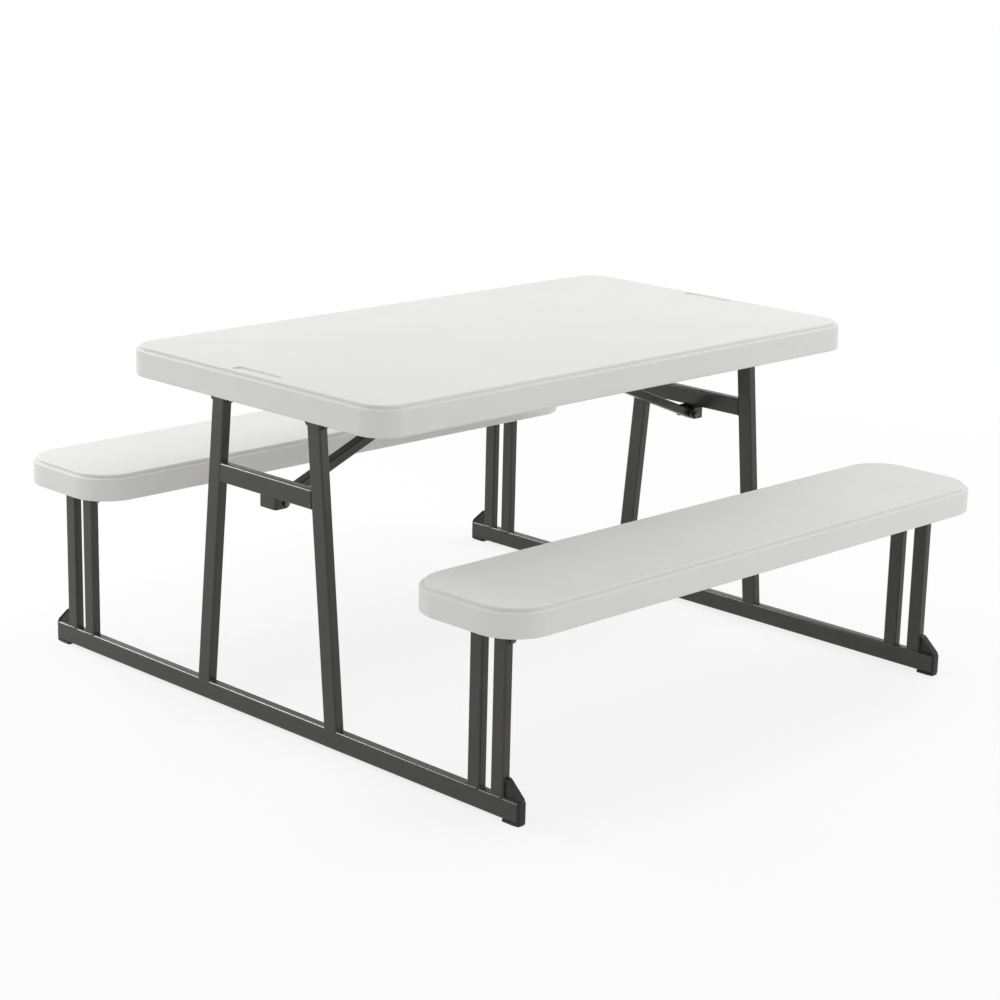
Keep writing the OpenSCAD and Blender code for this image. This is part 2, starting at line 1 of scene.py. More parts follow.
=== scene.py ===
# %% [markdown]
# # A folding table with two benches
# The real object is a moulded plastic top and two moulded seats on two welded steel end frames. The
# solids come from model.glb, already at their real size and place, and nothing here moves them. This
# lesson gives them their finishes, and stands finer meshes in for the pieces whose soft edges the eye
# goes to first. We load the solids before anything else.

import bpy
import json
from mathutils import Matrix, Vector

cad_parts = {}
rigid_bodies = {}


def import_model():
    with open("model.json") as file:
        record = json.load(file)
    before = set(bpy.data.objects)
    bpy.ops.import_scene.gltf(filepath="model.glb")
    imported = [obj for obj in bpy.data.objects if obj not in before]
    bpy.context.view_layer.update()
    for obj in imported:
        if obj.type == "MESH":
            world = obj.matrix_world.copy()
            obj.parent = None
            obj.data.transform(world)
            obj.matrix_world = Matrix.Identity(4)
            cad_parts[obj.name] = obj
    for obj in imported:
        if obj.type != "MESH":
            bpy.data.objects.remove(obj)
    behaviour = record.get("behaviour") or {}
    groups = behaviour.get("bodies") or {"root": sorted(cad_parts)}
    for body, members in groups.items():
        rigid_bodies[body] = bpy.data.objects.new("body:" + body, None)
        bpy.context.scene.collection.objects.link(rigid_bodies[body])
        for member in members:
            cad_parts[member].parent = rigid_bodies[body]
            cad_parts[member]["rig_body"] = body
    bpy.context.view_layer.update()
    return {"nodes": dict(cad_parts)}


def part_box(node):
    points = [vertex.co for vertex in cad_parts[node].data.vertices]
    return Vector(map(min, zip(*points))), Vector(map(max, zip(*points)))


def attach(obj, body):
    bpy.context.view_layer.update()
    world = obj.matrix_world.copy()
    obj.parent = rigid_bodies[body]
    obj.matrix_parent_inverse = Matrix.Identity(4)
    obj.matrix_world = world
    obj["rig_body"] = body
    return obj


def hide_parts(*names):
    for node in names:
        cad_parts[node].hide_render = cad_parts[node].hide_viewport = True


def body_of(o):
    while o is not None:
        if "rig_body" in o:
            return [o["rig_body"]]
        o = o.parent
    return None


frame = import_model()

# %% [markdown]
# ## The camera
# The photograph looks at a corner of the table from a little above it. A camera can be placed by eye,
# but the straight edges of the table and the rails fix its place much better: their vanishing points
# gave the values below. We build the camera's axes from them, so that heading, dip and roll stay
# readable as angles.

# %% Camera
import math

import bpy
from mathutils import Matrix, Vector

scene = bpy.context.scene
scene.view_settings.view_transform = "Standard"

CAMERA_PLACE = Vector((-3.6698, -3.6548, 1.7449))
HEADING = math.radians(45.17)
DIP = math.radians(14.944)
ROLL = math.radians(-1.379)
LENS_MM = 88.28

level_right = Vector((math.cos(HEADING), -math.sin(HEADING), 0))
forward = Vector((math.sin(HEADING) * math.cos(DIP), math.cos(HEADING) * math.cos(DIP), -math.sin(DIP)))
level_up = level_right.cross(forward)
right = math.cos(ROLL) * level_right - math.sin(ROLL) * level_up
up = math.sin(ROLL) * level_right + math.cos(ROLL) * level_up

camera = bpy.data.objects.new("camera", bpy.data.cameras.new("camera"))
scene.collection.objects.link(camera)
camera.data.lens = LENS_MM
camera.matrix_world = Matrix.Translation(CAMERA_PLACE) @ Matrix((right, up, -forward)).transposed().to_4x4()
scene.camera = camera
print("camera looks along", [round(x, 3) for x in forward])

# %% [markdown]
# ## Nodes with less typing
# Every finish in this lesson is a small tree of shader nodes. Making a node, setting its options and
# wiring its inputs takes many lines each time, so one helper does all three: an input takes a number, a
# colour or the output of another node. The object's own coordinates are in metres, so a texture's scale
# is cells per metre.

# %% Node helpers
def node(tree, kind, inputs, **options):
    """A new shader node with its options set and its inputs filled or wired."""
    made = tree.nodes.new("ShaderNode" + kind)
    for option, value in options.items():
        setattr(made, option, value)
    for socket, value in inputs.items():
        if isinstance(value, bpy.types.NodeSocket):
            tree.links.new(value, made.inputs[socket])
        else:
            made.inputs[socket].default_value = value
    return made


def shades(tree, amount, dark, light, low=0.3, high=0.7):
    """Turns a texture's 0 to 1 into a run between two colours."""
    made = node(tree, "ValToRGB", {"Fac": amount})
    for stop, place, colour in zip(made.color_ramp.elements, (low, high), (dark, light)):
        stop.position = place
        stop.color = (*colour, 1)
    return made.outputs["Color"]


def spread(tree, amount, low, high):
    """Turns a texture's 0 to 1 into a run between two numbers."""
    return node(tree, "MapRange", {"Value": amount, "To Min": low, "To Max": high}).outputs["Result"]


def object_place(tree):
    """The object's own coordinates."""
    return node(tree, "TexCoord", {}).outputs["Object"]


def noise(tree, place, cells, detail):
    """Soft clouds from 0 to 1."""
    return node(tree, "TexNoise", {"Vector": place, "Scale": cells, "Detail": detail}).outputs["Fac"]


def new_finish(name):
    """A material, its node tree and its shader."""
    finish = bpy.data.materials.new(name)
    finish.use_nodes = True
    return finish, finish.node_tree, finish.node_tree.nodes["Principled BSDF"]


print("node helpers are ready")

# %% [markdown]
# ## A white stage that keeps a shadow
# The photograph's ground is plain white. A white floor under bright lamps would do that, but it would
# also burn out the pale plastic. Instead the world and the floor show white to the camera and to
# reflections only, and give off a gentler light to everything else. Near the table the floor also shows
# some of its own shading, so the table stands on a soft shadow, and that fades out a few steps away.

# %% Stage
FLOOR_REACH = 12.0
SHADOW_NEAR = 1.3
SHADOW_FAR = 3.2
SHADOW_SHARE = 0.2
WHITE = (1, 1, 1, 1)
FLOOR_WHITE = (0.9, 0.9, 0.9, 1)
SKY_LIGHT = 0.72


def seen_directly(tree):
    """1 for rays from the camera, in reflections and through glass, 0 for the light on the object."""
    path = node(tree, "LightPath", {})
    seen = path.outputs["Is Camera Ray"]
    for kind in ("Is Glossy Ray", "Is Transmission Ray"):
        seen = node(tree, "Math", {0: seen, 1: path.outputs[kind]}, operation="MAXIMUM").outputs[0]
    return seen


world = bpy.data.worlds.new("white room")
world.use_nodes = True
scene.world = world
tree = world.node_tree
sky = tree.nodes["Background"]
sky.inputs["Color"].default_value = WHITE
tree.links.new(spread(tree, seen_directly(tree), SKY_LIGHT, 1.0), sky.inputs["Strength"])

floor_mesh = bpy.data.meshes.new("floor")
corners = [(x * FLOOR_REACH, y * FLOOR_REACH, 0) for x, y in ((-1, -1), (1, -1), (1, 1), (-1, 1))]
floor_mesh.from_pydata(corners, [], [(0, 1, 2, 3)])
floor = bpy.data.objects.new("floor", floor_mesh)
scene.collection.objects.link(floor)

floor_finish, tree, _ = new_finish("white floor")
ground = node(tree, "BsdfDiffuse", {"Color": FLOOR_WHITE})
glow = node(tree, "Emission", {"Color": WHITE, "Strength": 1.0})
place = object_place(tree)
away = node(tree, "VectorMath", {0: place}, operation="LENGTH").outputs["Value"]
fade_ends = {"From Min": SHADOW_NEAR, "From Max": SHADOW_FAR, "To Min": 1 - SHADOW_SHARE, "To Max": 1.0}
fade = node(tree, "MapRange", {"Value": away, **fade_ends}, interpolation_type="SMOOTHSTEP")
share = node(tree, "Math", {0: fade.outputs["Result"], 1: seen_directly(tree)}, operation="MULTIPLY")
shown = node(tree, "MixShader", {0: share.outputs[0], 1: ground.outputs[0], 2: glow.outputs[0]})
tree.links.new(shown.outputs[0], tree.nodes["Material Output"].inputs["Surface"])
floor_mesh.materials.append(floor_finish)
print("floor reaches", FLOOR_REACH, "m from the table's middle")

# %% [markdown]
# ## Studio lamps
# Most of the light is the even glow of the white room, as in a catalogue studio. A few soft boxes give
# it a direction: from above, from behind, and from either side, so that the corner nearest the camera
# is the darkest part of the skirt. Dark steel needs something bright to mirror, so one broad soft box
# behind on the left shows in reflections alone, and only on the pieces of the collection that is linked
# to it. It draws a soft bright line along every rounded steel edge. All lamps are hidden from the
# camera.

# %% Lamps
def soft_box(name, where, look_at, width, height, watts, shine_only=False):
    """A rectangular lamp turned towards a point, which may show in reflections alone."""
    lamp = bpy.data.lights.new(name, "AREA")
    lamp.shape = "RECTANGLE"
    lamp.size = width
    lamp.size_y = height
    lamp.energy = watts
    made = bpy.data.objects.new(name, lamp)
    scene.collection.objects.link(made)
    made.location = where
    made.rotation_euler = (Vector(look_at) - Vector(where)).to_track_quat("-Z", "Y").to_euler()
    made.visible_camera = False
    made.visible_diffuse = not shine_only
    return made


# Each lamp has a name, a place, the point it is turned to, a width, a height and its watts.
edge_lamp = soft_box("lamp for edges", (-1.5, 2.5, 1.9), (-0.65, 0.0, 0.05), 2.2, 1.4, 150, shine_only=True)
lamps = [
    soft_box("lamp above", (-0.3, 0.4, 3.4), (0, 0, 0.7), 2.6, 2.6, 5),
    soft_box("lamp above right", (1.6, -0.7, 2.8), (0.9, -0.5, 0.4), 1.6, 1.6, 19),
    soft_box("lamp right", (2.2, -3.6, 1.1), (0, 0, 0.5), 1.8, 1.4, 21),
    soft_box("lamp left", (-2.6, 2.8, 0.8), (-0.6, 0.4, 0.4), 1.4, 1.4, 9),
    soft_box("lamp behind", (-0.9, 2.5, 2.3), (-0.4, 0.65, 0.4), 1.4, 1.0, 34),
    edge_lamp,
]
dark_pieces = bpy.data.collections.new("dark pieces")
edge_lamp.light_linking.receiver_collection = dark_pieces
print("lamps:", [(lamp.name, lamp.data.energy) for lamp in lamps])

# %% [markdown]
# ## Pebbled moulded plastic
# Blow-moulded tops are polyethylene with a fine pebble grain pressed into every face, a dull sheen and
# a very faint clouding of the pigment. The grain could be modelled, but at about two millimetres a
# pebble it would take millions of faces, so cells of a Voronoi texture raise it as a bump. Noise
# clouds the colour and varies the gloss.

# %% Finish of the top and seats
PALE_DARK = (0.672, 0.669, 0.658)
PALE_LIGHT = (0.697, 0.694, 0.683)
PALE_CLOUDS = 5.0
PALE_CLOUD_DETAIL = 4.0
SHEEN_CELLS = 60.0
SHEEN_DETAIL = 2.0
SHEEN_ROUGH = (0.42, 0.56)
PEBBLE_CELLS = 520.0
PEBBLE_DEPTH = 0.0004
PEBBLE_STRENGTH = 0.35


def grain(tree, place, cells, depth, strength):
    """A bump of small rounded pebbles."""
    pebbles = node(tree, "TexVoronoi", {"Vector": place, "Scale": cells}, feature="SMOOTH_F1")
    height = pebbles.outputs["Distance"]
    return node(tree, "Bump", {"Height": height, "Distance": depth, "Strength": strength}).outputs["Normal"]


def pebbled_plastic():
    """The finish of the top and the seats."""
    finish, tree, shader = new_finish("pebbled plastic")
    place = object_place(tree)
    clouds = noise(tree, place, PALE_CLOUDS, PALE_CLOUD_DETAIL)
    tree.links.new(shades(tree, clouds, PALE_DARK, PALE_LIGHT), shader.inputs["Base Color"])
    sheen = noise(tree, place, SHEEN_CELLS, SHEEN_DETAIL)
    tree.links.new(spread(tree, sheen, *SHEEN_ROUGH), shader.inputs["Roughness"])
    pebbles = grain(tree, place, PEBBLE_CELLS, PEBBLE_DEPTH, PEBBLE_STRENGTH)
    tree.links.new(pebbles, shader.inputs["Normal"])
    return finish


plastic = pebbled_plastic()
print("made", plastic.name)

# %% [markdown]
# ## Charcoal powder coat
# The frames are coated with baked powder: a dark warm grey film with the slight skin of an orange,
# which breaks up reflections but still catches a bright line on every rounded edge. A flat grey would
# look like paper, so noise varies the gloss a little and raises the orange skin as a bump.

# %% Finish of the frames
COAT_DARK = (0.0200, 0.0192, 0.0165)
COAT_LIGHT = (0.0260, 0.0250, 0.0218)
COAT_CLOUDS = 18.0
COAT_CLOUD_DETAIL = 3.0
SKIN_CELLS = 420.0
SKIN_DETAIL = 2.0
SKIN_ROUGH = (0.26, 0.36)
SKIN_DEPTH = 0.0001
SKIN_STRENGTH = 0.2


def powder_coat():
    """The finish of the steel frames."""
    finish, tree, shader = new_finish("charcoal powder coat")
    place = object_place(tree)
    clouds = noise(tree, place, COAT_CLOUDS, COAT_CLOUD_DETAIL)
    tree.links.new(shades(tree, clouds, COAT_DARK, COAT_LIGHT), shader.inputs["Base Color"])
    skin = noise(tree, place, SKIN_CELLS, SKIN_DETAIL)
    tree.links.new(spread(tree, skin, *SKIN_ROUGH), shader.inputs["Roughness"])
    peel = node(tree, "Bump", {"Height": skin, "Distance": SKIN_DEPTH, "Strength": SKIN_STRENGTH})
    tree.links.new(peel.outputs["Normal"], shader.inputs["Normal"])
    return finish


coat = powder_coat()
print("made", coat.name)

# %% [markdown]
# ## Feet, tips, bushes and fasteners
# The feet and the brace tips are black moulded plastic with a finer grain than the top. The bushes are
# smooth dark nylon. The bolts and screws are plated dark, so they are a metal with a low, uneven gloss.
# One grey could do for all of them, but each takes the light in its own way, so one function makes all
# three from a few numbers.

# %% Finishes of the small pieces
FOOT_DARK = (0.008, 0.008, 0.008)
FOOT_LIGHT = (0.014, 0.014, 0.013)
NYLON_DARK = (0.030, 0.030, 0.031)
NYLON_LIGHT = (0.042, 0.042, 0.043)
PLATE_DARK = (0.10, 0.10, 0.105)
PLATE_LIGHT = (0.17, 0.17, 0.175)
PATCH_DETAIL = 3.0
ROUGH_SWING = 0.06
FINE_GRAIN_DEPTH = 0.0002
FINE_GRAIN_STRENGTH = 0.2


def small_finish(name, dark, light, patches, rough, cells, metal=0.0, shine=0.5):
    """A finish whose colour and gloss vary in patches, under a fine grain."""
    finish, tree, shader = new_finish(name)
    place = object_place(tree)
    patch = noise(tree, place, patches, PATCH_DETAIL)
    tree.links.new(shades(tree, patch, dark, light), shader.inputs["Base Color"])
    gloss = spread(tree, patch, rough - ROUGH_SWING, rough + ROUGH_SWING)
    tree.links.new(gloss, shader.inputs["Roughness"])
    fine_grain = grain(tree, place, cells, FINE_GRAIN_DEPTH, FINE_GRAIN_STRENGTH)
    tree.links.new(fine_grain, shader.inputs["Normal"])
    shader.inputs["Metallic"].default_value = metal
    shader.inputs["Specular IOR Level"].default_value = shine
    return finish


foot_plastic = small_finish(
    "black foot plastic", FOOT_DARK, FOOT_LIGHT, patches=40.0, rough=0.40, cells=900.0, shine=0.32
)
nylon = small_finish("dark nylon", NYLON_DARK, NYLON_LIGHT, patches=60.0, rough=0.38, cells=1500.0)
plating = small_finish(
    "dark plating", PLATE_DARK, PLATE_LIGHT, patches=120.0, rough=0.36, cells=1800.0, metal=1.0
)
print("made", foot_plastic.name, nylon.name, plating.name)

# %% [markdown]
# ## Dressing the solids
# Each solid arrives with one material slot, named as the record names it. A second slot could be added,
# but then every face would have to be moved to it. Putting our finish into the slot that is there is
# enough for tubes, rails and bars, whose shape is already right.

# %% Finishes on the solids
FINISHES = {
    "moulded_plastic": plastic,
    "frame_steel": coat,
    "foot_plastic": foot_plastic,
    "bush_nylon": nylon,
    "fastener_steel": plating,
}


def mirror_edge_lamp(piece, slot):
    """Lets a dark piece mirror the lamp for edges."""
    if slot != "moulded_plastic":
        dark_pieces.objects.link(piece)


slot_of = {}
for name, solid in frame["nodes"].items():
    slot_of[name] = solid.material_slots[0].material.name
    solid.material_slots[0].material = FINISHES[slot_of[name]]
    mirror_edge_lamp(solid, slot_of[name])
print("dressed", len(slot_of), "solids in", len(set(slot_of.values())), "finishes")

# %% [markdown]
# ## Moulded panels
# The top and the seats are one kind of thing: a thick panel with a deep skirt, made in one blow. The
# edge has a character of its own. The surface ends in a small round, drops a step, runs out on a
# shoulder and turns down into the skirt. A bevel modifier can't draw that, so we write the edge as a
# section of arcs and sweep it round the outline: every point of the section becomes a ring, and quads
# join each ring to the next.

# %% Rings, skins and fills
import bmesh


def arc_points(centre, radius, start, end, steps=6):
    """Points along an arc, with the angles in degrees."""
    turns = [math.radians(start + (end - start) * i / steps) for i in range(steps + 1)]
    return [(centre[0] + radius * math.cos(t), centre[1] + radius * math.sin(t)) for t in turns]


def rounded_outline(length, width, radius, steps=18):
    """Points round a rounded rectangle about the origin."""
    points = []
    for quarter, (side_x, side_y) in enumerate(((1, 1), (-1, 1), (-1, -1), (1, -1))):
        centre_x = side_x * (length / 2 - radius)
        centre_y = side_y * (width / 2 - radius)
        for step in range(steps + 1):
            turn = math.pi / 2 * (quarter + step / steps)
            points.append((centre_x + radius * math.cos(turn), centre_y + radius * math.sin(turn)))
    return points


def level(outline, centre, height):
    """A flat outline set about a centre, at one height."""
    return [(centre[0] + x, centre[1] + y, height) for x, y in outline]


def ring(bm, points):
    """A closed ring of vertices."""
    return [bm.verts.new(point) for point in points]


def skin(bm, rings):
    """Quads between each ring and the next."""
    for one, other in zip(rings, rings[1:]):
        for i in range(len(one)):
            j = (i + 1) % len(one)
            bm.faces.new((one[i], one[j], other[j], other[i]))


def fill(bm, outer, holes=()):
    """Flat faces inside one ring and outside the others."""
    edges = []
    for loop in (outer, *holes):
        for a, b in zip(loop, loop[1:] + loop[:1]):
            edges.append(bm.edges.get((a, b)) or bm.edges.new((a, b)))
    bmesh.ops.triangle_fill(bm, use_beauty=True, edges=edges)


print("mesh helpers are ready")

# %% [markdown]
# ## From a mesh to a piece
# A mesh becomes a piece of the table when it has its shading, its finish and a body to ride on. Every
# piece takes the same steps, so one function does them, and a second one takes the finish and the body
# from the solid that the piece stands for. Edges could be marked as sharp by hand, but an angle finds
# them all, and weighted normals keep the flat faces flat between rounded edges.

# %% Pieces that ride on a body
SHARP_ANGLE = 50
EDGE_SEGMENTS = 2


def finish_piece(bm, name, slot, body, sharp=SHARP_ANGLE, soften=0.0):
    """Turns the working mesh into a smooth-shaded piece that rides on a body."""
    bmesh.ops.recalc_face_normals(bm, faces=bm.faces)
    mesh = bpy.data.meshes.new(name)
    bm.to_mesh(mesh)
    bm.free()
    mesh.shade_smooth()
    mesh.set_sharp_from_angle(angle=math.radians(sharp))
    mesh.materials.append(FINISHES[slot])
    made = bpy.data.objects.new(name, mesh)
    scene.collection.objects.link(made)
    if soften:
        edges = made.modifiers.new("soft edges", "BEVEL")
        edges.width = soften
        edges.segments = EDGE_SEGMENTS
        edges.angle_limit = math.radians(sharp)
    made.modifiers.new("keep flat faces flat", "WEIGHTED_NORMAL").keep_sharp = True
    mirror_edge_lamp(made, slot)
    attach(made, body)
    print(name, "faces:", len(mesh.polygons))
    return made


def stand_in(bm, prefix, node_name, sharp=SHARP_ANGLE, soften=0.0):
    """A piece that takes the place of a solid, with the solid's own finish and body."""
    body = body_of(frame["nodes"][node_name])[0]
    made = finish_piece(bm, prefix + "_" + node_name, slot_of[node_name], body, sharp, soften)
    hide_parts(node_name)


print("pieces turn sharp at", SHARP_ANGLE, "degrees, unless they say otherwise")

# %% [markdown]
# ## The edge section
# The values are in metres and were matched to the photograph. The section starts on the flat surface,
# goes out over the step and the shoulder, down the skirt, round its lower edge and up the inner wall to
# the underside. Distances are measured inwards from the outer edge, so that a ring is simply a smaller
# rounded rectangle.

# %% Edge of a moulded panel
SKIRT_WALL = 0.012
RIM_INSET = 0.009
RIM_STEP = 0.005
STEP_ROOT_R = 0.002
SHOULDER_R = 0.0025
SURFACE_R = 0.003
LIP_R = 0.004
FILLET_R = 0.006
FLAT_HOLD = 0.002  # a strip of flat beside a round


def edge_section(top, skirt, thick):
    """(inset, height) points of the moulded edge."""
    low = top - skirt
    base = top - thick
    ledge = top - SURFACE_R - RIM_STEP
    return [
        (RIM_INSET + SURFACE_R + FLAT_HOLD, top),
        *arc_points((RIM_INSET + SURFACE_R, top - SURFACE_R), SURFACE_R, 90, 180),
        *arc_points((RIM_INSET - STEP_ROOT_R, ledge + STEP_ROOT_R), STEP_ROOT_R, 0, -90, 4),
        *arc_points((SHOULDER_R, ledge - SHOULDER_R), SHOULDER_R, 90, 180, 8),
        *arc_points((LIP_R, low + LIP_R), LIP_R, 180, 270),
        *arc_points((SKIRT_WALL - LIP_R, low + LIP_R), LIP_R, 270, 360),
        *arc_points((SKIRT_WALL + FILLET_R, base - FILLET_R), FILLET_R, 180, 90),
        (SKIRT_WALL + FILLET_R + FLAT_HOLD, base),
    ]


print("the rim steps down", RIM_STEP + SURFACE_R, "m to the shoulder")

# %% [markdown]
# ## Dimples
# On the underside, rows of round dimples reach up to the skin above and weld to it in the mould, which
# is what makes a hollow panel stiff. Each is a small bowl: a soft mouth, a slanting wall and a flat
# bottom. A bump could suggest them, but they show from below, so they are real geometry here.

# %% Dimples under a panel
DIMPLE_PITCH = 0.094
DIMPLE_MARGIN = 0.130
DIMPLE_DEPTH = 0.014
DIMPLE_R = 0.015
DIMPLE_TIP_R = 0.007
DIMPLE_SOFT = 0.002
DIMPLE_STEPS = 24


def spaced(length, pitch):
    """Places about a pitch apart, centred on the middle."""
    count = math.floor(length / pitch)
    return [(i - count / 2) * pitch for i in range(count + 1)]


def dimple(bm, centre, base):
    """A bowl pressed up into the underside. Returns the ring of its mouth."""
    shape = [
        (DIMPLE_R + DIMPLE_SOFT, 0.0),
        (DIMPLE_R + DIMPLE_SOFT / 3, DIMPLE_SOFT / 5),
        (DIMPLE_R - DIMPLE_SOFT / 3, DIMPLE_SOFT),
        (DIMPLE_TIP_R + DIMPLE_SOFT / 2, DIMPLE_DEPTH - DIMPLE_SOFT),
        (DIMPLE_TIP_R - DIMPLE_SOFT / 2, DIMPLE_DEPTH - DIMPLE_SOFT / 4),
        (DIMPLE_TIP_R - DIMPLE_SOFT, DIMPLE_DEPTH),
    ]
    rings = []
    for radius, rise in shape:
        circle = arc_points((0, 0), radius, 0, 360 - 360 / DIMPLE_STEPS, DIMPLE_STEPS - 1)
        rings.append(ring(bm, level(circle, centre, base + rise)))
    skin(bm, rings)
    bm.faces.new(rings[-1])
    return rings[0]


print("a dimple is", DIMPLE_DEPTH, "m deep")

# %% [markdown]
# ## A whole panel
# A panel is the swept edge, closed by a flat surface above and by the underside below. The surface may
# have shallow oval recesses, and the underside has its dimples. Booleans could cut them, but it is
# cleaner to fill the flat faces between the outer ring and the mouths of the ovals or dimples: the
# panel is then one closed skin.

# %% A whole panel
RECESS_LENGTH = 0.136
RECESS_WIDTH = 0.026
RECESS_DEPTH = 0.003
RECESS_SOFT = 0.0008


def oval(length, width, steps=20):
    """Points round an oval along Y about the origin."""
    reach = (length - width) / 2
    halves = (reach, 0, 180), (-reach, 180, 360)
    return [point for y, start, end in halves for point in arc_points((0, y), width / 2, start, end, steps)]


def recess(bm, centre, top):
    """A shallow oval pan in the surface. Returns the ring of its mouth."""
    rings = []
    for inset, drop in ((0, 0), (RECESS_SOFT / 2, RECESS_DEPTH / 4), (RECESS_SOFT, RECESS_DEPTH)):
        outline = oval(RECESS_LENGTH - 2 * inset, RECESS_WIDTH - 2 * inset)
        rings.append(ring(bm, level(outline, centre, top - drop)))
    skin(bm, rings)
    bm.faces.new(rings[-1])
    return rings[0]


def moulded_panel(node_name, corner_r, thick, rows, recess_places=()):
    """A panel with its skirt, standing for the solid of that name."""
    low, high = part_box(node_name)
    length, width = high.x - low.x, high.y - low.y
    centre = ((low.x + high.x) / 2, (low.y + high.y) / 2)
    bm = bmesh.new()
    rings = []
    for inset, height in edge_section(high.z, high.z - low.z, thick):
        outline = rounded_outline(length - 2 * inset, width - 2 * inset, corner_r - inset)
        rings.append(ring(bm, level(outline, centre, height)))
    skin(bm, rings)
    fill(bm, rings[0], [recess(bm, place, high.z) for place in recess_places])
    places = [(centre[0] + x, y) for x in spaced(length - 2 * DIMPLE_MARGIN, DIMPLE_PITCH) for y in rows]
    fill(bm, rings[-1], [dimple(bm, place, high.z - thick) for place in places])
    print("dimples:", len(places))
    stand_in(bm, "moulded", node_name)


print("a recess is", RECESS_DEPTH, "m deep")

# %% [markdown]
# ## The table top
# Its size and place come from the solid that it stands for. Near each short end of the surface there is
# an oval recess. Four rows of dimples run along the underside, on either side of each steel rail. Their
# places could be typed in, but read from the solids they stay clear of the steel.

# %% Table top
TABLE_CORNER_R = 0.065
TABLE_PANEL = 0.035
RECESS_MARGIN = 0.030
CATCH_LIP = 0.005

table_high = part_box("table_top")[1]
rail_low, rail_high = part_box("rear_table_rail")
catch_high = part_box("brace_catch")[1]
outer_row = (table_high.y - SKIRT_WALL + rail_high.y) / 2
inner_row = (rail_low.y + catch_high.y - CATCH_LIP) / 2
recess_x = table_high.x - RECESS_MARGIN
moulded_panel(
    "table_top",
    TABLE_CORNER_R,
    TABLE_PANEL,
    [-outer_row, -inner_row, inner_row, outer_row],
    [(-recess_x, 0), (recess_x, 0)],
)

# %% [markdown]
# ## The seats
# The seats are narrower and have rounder corners, but their edge is the same, so the same sweep makes
# them. Their dimples lie in two rows, midway between the skirt and the steel rails.

# %% Seats
BENCH_CORNER_R = 0.089
BENCH_PANEL = 0.031

for half in ("front", "rear"):
    seat_low, seat_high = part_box(half + "_seat")
    rails_low, rails_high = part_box(half + "_seat_rails")
    rows = [(seat_low.y + SKIRT_WALL + rails_low.y) / 2, (seat_high.y - SKIRT_WALL + rails_high.y) / 2]
    moulded_panel(half + "_seat", BENCH_CORNER_R, BENCH_PANEL, rows)

# %% [markdown]
# ## Stacks
# The small pieces, such as feet, bolts, screws and weld beads, are solids whose section changes along a
# line. They could be cut with booleans and rounded with modifiers. A stack is a quicker way to a closed
# solid: a ring for each row, a skin over them and a face at either end. Rows that shrink a little
# towards an edge round it.

# %% Stacks and rounded outlines
def stacked(bm, rows, place):
    """A closed solid over rows of points, all with the same count."""
    rings = [ring(bm, [place @ Vector(point) for point in row]) for row in rows]
    skin(bm, rings)
    bm.faces.new(rings[0])
    bm.faces.new(rings[-1])


def rounded_polygon(corners, radii, inset=0.0, steps=4):
    """Points round a convex outline, anticlockwise, drawn in by an inset and with rounded corners."""
    corners = [Vector(corner) for corner in corners]
    points = []
    befores = corners[-1:] + corners[:-1]
    afters = corners[1:] + corners[:1]
    for before, corner, after, radius in zip(befores, corners, afters, radii):
        inward = [Vector((-step.y, step.x)).normalized() for step in (corner - before, after - corner)]
        centre = corner + (inset + radius) * (inward[0] + inward[1]) / (1 + inward[0].dot(inward[1]))
        turn = math.acos(max(-1, min(1, inward[0].dot(inward[1]))))
        for step in range(steps + 1):
            points.append(centre - radius * (Matrix.Rotation(turn * step / steps, 2) @ inward[0]))
    return points


print("stack helpers are ready")

# %% [markdown]
# ## The feet
# A black moulded foot closes each end of a floor rail. It has a cushioned end cap, a thin pad that
# lifts the rail off the ground, and a wedge on top that braces the bench leg, with a panel sunk into
# either side. Three bevelled boxes would lose the sunk panel and the round crown, so each of the three
# is a stack of its own.

# %% Parts of a foot
FOOT_PAD = 0.006
FOOT_END = 0.005
FOOT_SHOULDER = 0.052
FOOT_CORNER_R = 0.009
FOOT_LAP = 0.002
PAD_CORNER_R = 0.002
PAD_ROUND = 0.001
PAD_TAPER = 0.012
PAD_END_R = 0.005
WEDGE_WIDTH = 0.017
WEDGE_RIM = 0.0025
WEDGE_SUNK = 0.0025
WEDGE_SOFT = 0.0006
CROWN_REACH = 0.006
CROWN_DROP = 0.0015
CROWN_R = 0.012
PANEL_CROWN_R = 0.003
CORNER_R = 0.0005


def eased(radius, steps=4):
    """(distance from the end, inset) pairs that round off an end."""
    turns = [math.pi / 2 * step / steps for step in range(steps + 1)]
    return [(radius * (1 - math.sin(turn)), radius * (1 - math.cos(turn))) for turn in turns]


def foot_cap(bm, width, reach, place):
    """The cushioned cap on the end of the rail."""
    rows = []
    for gap, inset in eased(FOOT_END):
        outline = rounded_outline(width - 2 * inset, FOOT_SHOULDER - 2 * inset, FOOT_CORNER_R - inset, 6)
        rows.append([(x, reach - gap, FOOT_SHOULDER / 2 + z) for x, z in outline])
    stacked(bm, rows, place)


def foot_pad(bm, width, reach, place):
    """The pad under the rail. Its lower corners round off towards the cap."""
    end = reach - FOOT_END + FOOT_LAP
    rows = [(along, inset, PAD_CORNER_R) for along, inset in eased(PAD_ROUND)[::-1]]
    rows += [(end - PAD_TAPER, 0.0, PAD_CORNER_R), (end, 0.0, PAD_END_R)]
    half = width / 2
    corners = [(-half, 0), (half, 0), (half, FOOT_PAD), (-half, FOOT_PAD)]
    outlines = []
    for along, inset, radius in rows:
        radii = [radius - inset, radius - inset, CORNER_R, CORNER_R]
        outline = rounded_polygon(corners, radii, inset)
        outlines.append([(x, along, z) for x, z in outline])
    stacked(bm, outlines, place)


